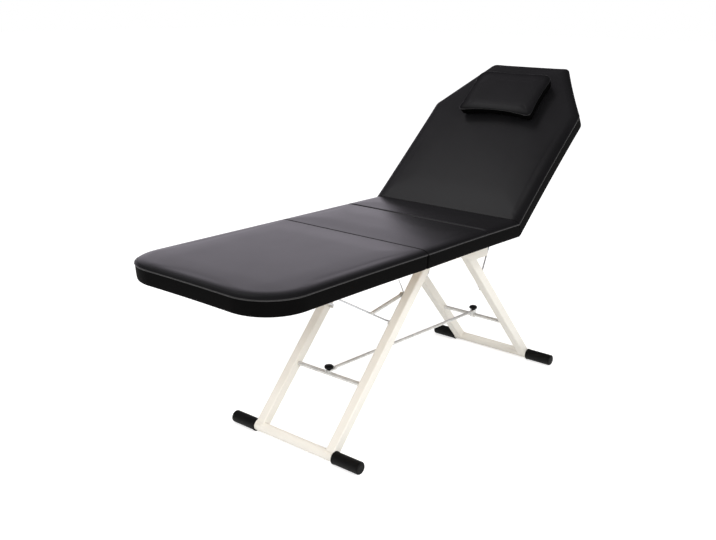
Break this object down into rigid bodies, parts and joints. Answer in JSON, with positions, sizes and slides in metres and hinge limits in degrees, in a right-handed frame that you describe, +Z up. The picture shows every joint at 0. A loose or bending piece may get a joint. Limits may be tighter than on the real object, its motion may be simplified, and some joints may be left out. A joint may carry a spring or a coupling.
{
  "type": "folding massage bed",
  "caption": "Padded treatment bed with a reclining back, drop leg rest, lumbar strip and loose head pillow on A-shaped folding steel legs tied by a rod with hand knobs.",
  "frame": {"origin": "middle of the bed's bounding box at floor level", "axes": "+X towards the head end, +Y to the left seen from the foot end, +Z up"},
  "size_m": [1.6954, 0.6, 1.0767],
  "materials": {
    "black_leather": "soft satin grain",
    "plywood": "raw plywood",
    "cream_paint": "satin powder coat",
    "zinc_steel": "zinc plated",
    "chrome_wire": "bright plated wire",
    "black_rubber": "matte",
    "black_plastic": "fine moulded texture"
  },
  "bodies": {
    "seat": {"seat_board": "plywood", "seat_pad": "black_leather", "lumbar_pad": "black_leather", "legrest_hinge_seat_leaves": "zinc_steel", "legrest_hinge_pins": "zinc_steel", "back_hinge_seat_leaves": "zinc_steel", "back_hinge_pins": "zinc_steel", "seat_rail_left": "cream_paint", "seat_rail_right": "cream_paint", "seat_cross_front": "cream_paint", "seat_cross_rear": "cream_paint", "pivot_plate_left": "cream_paint", "pivot_plate_right": "cream_paint", "leg_pivot_bolts": "zinc_steel", "leg_pivot_nuts": "zinc_steel"},
    "legrest": {"legrest_board": "plywood", "legrest_pad": "black_leather", "legrest_rail_left": "cream_paint", "legrest_rail_right": "cream_paint", "legrest_hinge_leaves": "zinc_steel", "legrest_prop_clips": "black_plastic"},
    "legrest_prop": {"legrest_prop_bar": "chrome_wire", "legrest_prop_arm_left": "chrome_wire", "legrest_prop_arm_right": "chrome_wire"},
    "backrest": {"back_board": "plywood", "back_pad": "black_leather", "back_rail_left": "cream_paint", "back_rail_right": "cream_paint", "back_hinge_leaves": "zinc_steel", "back_prop_clips": "black_plastic"},
    "back_prop": {"back_prop_bar": "chrome_wire", "back_prop_arm_left": "chrome_wire", "back_prop_arm_right": "chrome_wire"},
    "pillow": {"head_pillow": "black_leather"},
    "front_legs": {"front_leg_left": "cream_paint", "front_foot_sleeve_left": "black_rubber", "front_leg_right": "cream_paint", "front_foot_sleeve_right": "black_rubber", "front_foot_tube": "cream_paint", "front_crossbar": "zinc_steel", "front_leg_plugs": "black_plastic", "front_prop_pegs": "zinc_steel", "lock_studs": "zinc_steel"},
    "rear_legs": {"rear_leg_left": "cream_paint", "rear_foot_sleeve_left": "black_rubber", "rear_leg_right": "cream_paint", "rear_foot_sleeve_right": "black_rubber", "rear_foot_tube": "cream_paint", "rear_crossbar": "zinc_steel", "rear_leg_plugs": "black_plastic", "rear_prop_pegs": "zinc_steel"},
    "tie_rod": {"tie_rod": "zinc_steel"},
    "front_knob": {"front_knob": "black_plastic"},
    "rear_knob": {"rear_knob": "black_plastic"},
    "lock_bars": {"legrest_lock_bar_left": "zinc_steel", "legrest_lock_bar_right": "zinc_steel"},
    "release_wires": {"release_wire_left": "chrome_wire", "release_wire_right": "chrome_wire"}
  },
  "joints": [
    {"name": "leg_fold", "type": "hinge", "parent": "seat", "child": "front_legs", "pos_m": [-0.00467, 0, 0.522], "axis": [0, 1, 0], "range_deg": [0, 48]},
    {"name": "rear_leg_fold", "type": "hinge", "parent": "seat", "child": "rear_legs", "pos_m": [0.20033, 0, 0.522], "axis": [0, 1, 0], "range_deg": [-48, 0]},
    {"name": "tie_rod_swing", "type": "hinge", "parent": "rear_legs", "child": "tie_rod", "pos_m": [0.50804, 0, 0.17873], "axis": [0, 1, 0], "range_deg": [0, 46.5]},
    {"name": "front_knob_turn", "type": "hinge", "parent": "front_legs", "child": "front_knob", "pos_m": [-0.30037, 0, 0.19213], "axis": [0, 0, 1], "continuous": true},
    {"name": "rear_knob_turn", "type": "hinge", "parent": "tie_rod", "child": "rear_knob", "pos_m": [0.50804, 0, 0.17873], "axis": [0, 0, 1], "continuous": true},
    {"name": "lock_bar_swing", "type": "hinge", "parent": "front_legs", "child": "lock_bars", "pos_m": [-0.09011, 0, 0.42669], "axis": [0, 1, 0], "range_deg": [-30, 0]},
    {"name": "release_wire_swing", "type": "hinge", "parent": "front_legs", "child": "release_wires", "pos_m": [-0.09011, 0, 0.42669], "axis": [0, 1, 0], "range_deg": [-94, 0]},
    {"name": "legrest_tilt", "type": "hinge", "parent": "seat", "child": "legrest", "pos_m": [-0.20967, 0, 0.564], "axis": [0, 1, 0], "range_deg": [-30, 0]},
    {"name": "legrest_prop_fold", "type": "hinge", "parent": "legrest", "child": "legrest_prop", "pos_m": [-0.52967, 0, 0.561], "axis": [0, 1, 0], "range_deg": [-22, 0]},
    {"name": "back_recline", "type": "hinge", "parent": "seat", "child": "backrest", "pos_m": [0.30983, 0, 0.564], "axis": [0, 1, 0], "range_deg": [-14, 41]},
    {"name": "back_prop_fold", "type": "hinge", "parent": "backrest", "child": "back_prop", "pos_m": [0.53821, 0, 0.75855], "axis": [0, 1, 0], "range_deg": [0, 18]},
    {"name": "pillow_lift", "type": "slide", "parent": "backrest", "child": "pillow", "axis": [-0.6561, 0, 0.7547], "range_m": [0, 0.08]}
  ],
  "couplings": [
    {"joint": "rear_leg_fold", "follows": "leg_fold", "ratio": -1},
    {"joint": "tie_rod_swing", "follows": "leg_fold", "ratio": 0.96875},
    {"joint": "lock_bar_swing", "follows": "leg_fold", "ratio": -0.625},
    {"joint": "release_wire_swing", "follows": "leg_fold", "ratio": -1.9583},
    {"joint": "legrest_prop_fold", "follows": "leg_fold", "ratio": -0.45833},
    {"joint": "back_prop_fold", "follows": "leg_fold", "ratio": 0.375}
  ]
}
